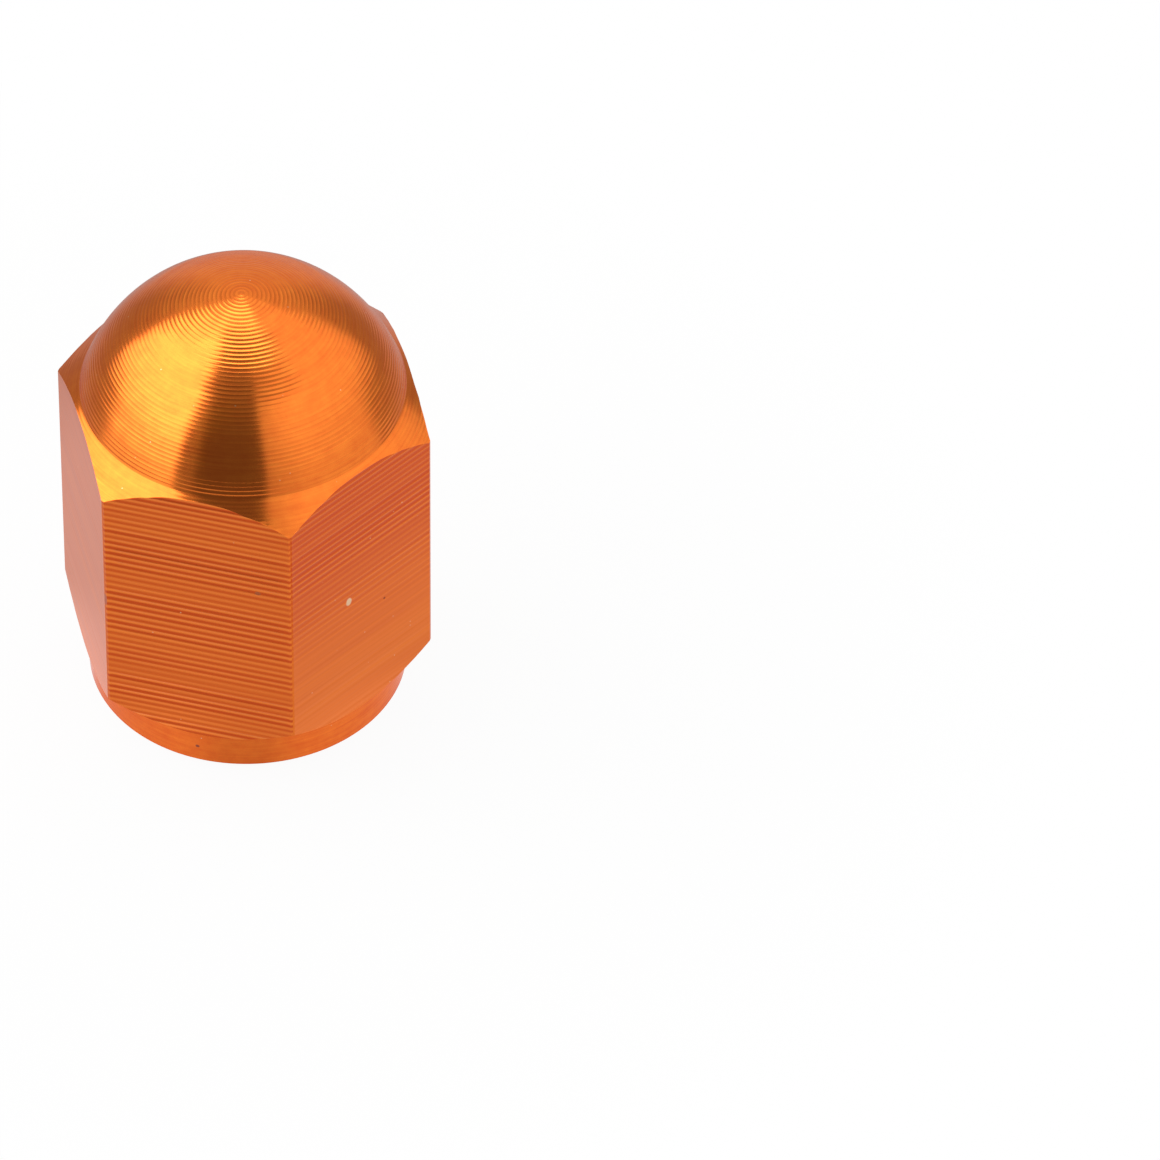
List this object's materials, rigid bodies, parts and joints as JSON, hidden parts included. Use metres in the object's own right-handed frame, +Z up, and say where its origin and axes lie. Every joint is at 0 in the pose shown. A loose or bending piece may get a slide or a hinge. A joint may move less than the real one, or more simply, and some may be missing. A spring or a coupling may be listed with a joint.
{
  "type": "tyre valve cap",
  "caption": "Hexagonal metal dust cap that screws onto a tyre valve stem, with a domed crown and a round collar at its open mouth.",
  "frame": {"origin": "centre of the open mouth's flat face, on the cap's axis, where the cap stands", "axes": "+Z up the cap's axis through the crown of the dome, +X through one corner of the hexagon, +Y square to one flat"},
  "size_m": [0.0114, 0.01, 0.0152],
  "materials": {
    "anodised_orange": "aluminium, turned and fly-cut, dyed orange by clear anodising, with fine tool lines"
  },
  "bodies": {
    "root": {"cap": "anodised_orange"}
  },
  "joints": []
}
